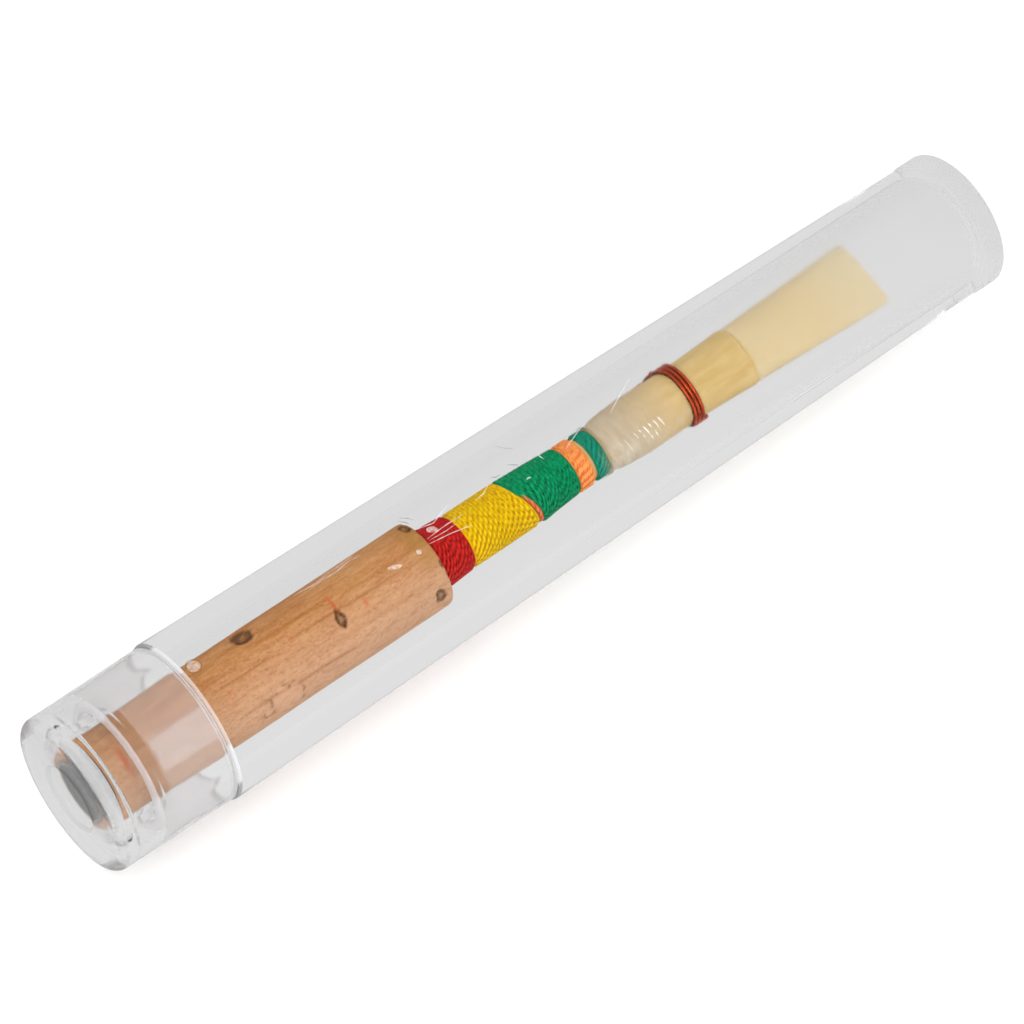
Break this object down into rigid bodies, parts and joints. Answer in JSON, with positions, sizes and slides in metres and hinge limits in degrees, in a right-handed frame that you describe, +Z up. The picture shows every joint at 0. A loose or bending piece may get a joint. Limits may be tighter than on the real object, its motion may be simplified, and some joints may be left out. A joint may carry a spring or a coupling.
{
  "type": "oboe reed in case",
  "caption": "Double reed with cork, metal staple, coloured thread windings and copper wire, in a clear push-on tube case.",
  "frame": {"origin": "centre of the bounding box in X and Y, on its lowest plane", "axes": "+X along the case from the cap to the closed end and the reed's tip, +Z up from the facet that the case lies on"},
  "size_m": [0.0856, 0.0132, 0.0131],
  "materials": {
    "clear_plastic": "clear moulded, polished",
    "staple_metal": "nickel plated, dull",
    "cork": "sanded, matt",
    "red_thread": "waxed thread",
    "yellow_thread": "waxed thread",
    "coral_thread": "waxed thread",
    "green_thread": "waxed thread",
    "orange_thread": "waxed thread",
    "teal_thread": "waxed thread",
    "clear_film": "clear film, gloss",
    "cane": "golden bark, scraped to pale cane",
    "copper_wire": "soft copper, darkened"
  },
  "bodies": {
    "case": {"case_tube": "clear_plastic"},
    "cap": {"case_cap": "clear_plastic"},
    "reed": {"staple": "staple_metal", "cork_sleeve": "cork", "red_thread": "red_thread", "yellow_thread": "yellow_thread", "coral_thread": "coral_thread", "green_thread": "green_thread", "orange_thread": "orange_thread", "teal_thread": "teal_thread", "binding_film": "clear_film", "upper_blade": "cane", "lower_blade": "cane", "binding_wire": "copper_wire", "wire_twist": "copper_wire"}
  },
  "joints": [
    {"name": "cap_slide", "type": "slide", "parent": "case", "child": "cap", "axis": [-1, 0, 0], "range_m": [0, 0.085]},
    {"name": "reed_slide", "type": "slide", "parent": "cap", "child": "reed", "axis": [1, 0, 0], "range_m": [0, 0.006]}
  ]
}
